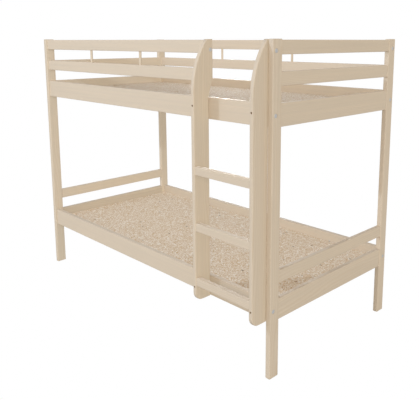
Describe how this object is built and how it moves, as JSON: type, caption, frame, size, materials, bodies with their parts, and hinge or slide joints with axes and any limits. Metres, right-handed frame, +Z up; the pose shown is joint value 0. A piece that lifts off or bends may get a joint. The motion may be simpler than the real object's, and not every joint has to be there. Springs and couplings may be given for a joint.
{
  "type": "bunk bed with ladder",
  "caption": "Pine bunk bed with flat posts, board bases, open guard rails round the upper tier and an upright ladder with curved-top stiles at the right end of the front.",
  "frame": {"origin": "on the floor under the middle of the bounding box", "axes": "+Z up, +X along the length towards the ladder end, +Y from the ladder side to the back"},
  "size_m": [2.06, 1.095, 1.578],
  "materials": {
    "pine": "planed pale pine, thinly whitened, matt",
    "pine_ladder": "planed pale pine, thinly whitened, matt",
    "pine_strip": "sawn pine",
    "chipboard": "raw chipboard, matt, coarse flakes",
    "steel": "zinc plated, satin"
  },
  "bodies": {
    "root": {"back_lower_side_rail": "pine", "back_mid_guard": "pine", "back_spindle_1": "pine", "back_spindle_2": "pine", "back_top_guard": "pine", "back_upper_side_rail": "pine", "base_screw_back_left": "steel", "base_screw_back_right": "steel", "base_screw_front_left": "steel", "base_screw_front_right": "steel", "bolt_back_left_lower": "steel", "bolt_back_left_top": "steel", "bolt_back_left_upper": "steel", "bolt_back_right_lower": "steel", "bolt_back_right_top": "steel", "bolt_back_right_upper": "steel", "bolt_front_left_lower": "steel", "bolt_front_left_top": "steel", "bolt_front_left_upper": "steel", "bolt_front_right_lower": "steel", "bolt_front_right_top": "steel", "bolt_front_right_upper": "steel", "bolt_stile_top": "steel", "front_lower_side_rail": "pine", "front_mid_guard": "pine", "front_spindle_1": "pine", "front_spindle_2": "pine", "front_top_guard": "pine", "front_upper_side_rail": "pine", "ladder_rung_1": "pine_ladder", "ladder_rung_2": "pine_ladder", "ladder_rung_3": "pine_ladder", "ladder_stile_left": "pine_ladder", "ladder_stile_right": "pine_ladder", "left_end_lower_guard": "pine", "left_end_lower_rail": "pine", "left_end_mid_guard": "pine", "left_end_top_guard": "pine", "left_end_upper_rail": "pine", "lower_back_ledger": "pine_strip", "lower_base_board": "chipboard", "lower_front_ledger": "pine_strip", "post_back_left": "pine", "post_back_right": "pine", "post_front_left": "pine", "post_front_right": "pine", "right_end_lower_guard": "pine", "right_end_lower_rail": "pine", "right_end_mid_guard": "pine", "right_end_top_guard": "pine", "right_end_upper_rail": "pine", "stile_screw_left_lower": "steel", "stile_screw_left_upper": "steel", "stile_screw_right_lower": "steel", "stile_screw_right_upper": "steel", "stile_spacer_ring": "steel", "upper_back_ledger": "pine_strip", "upper_base_board": "chipboard", "upper_front_ledger": "pine_strip"}
  },
  "joints": []
}
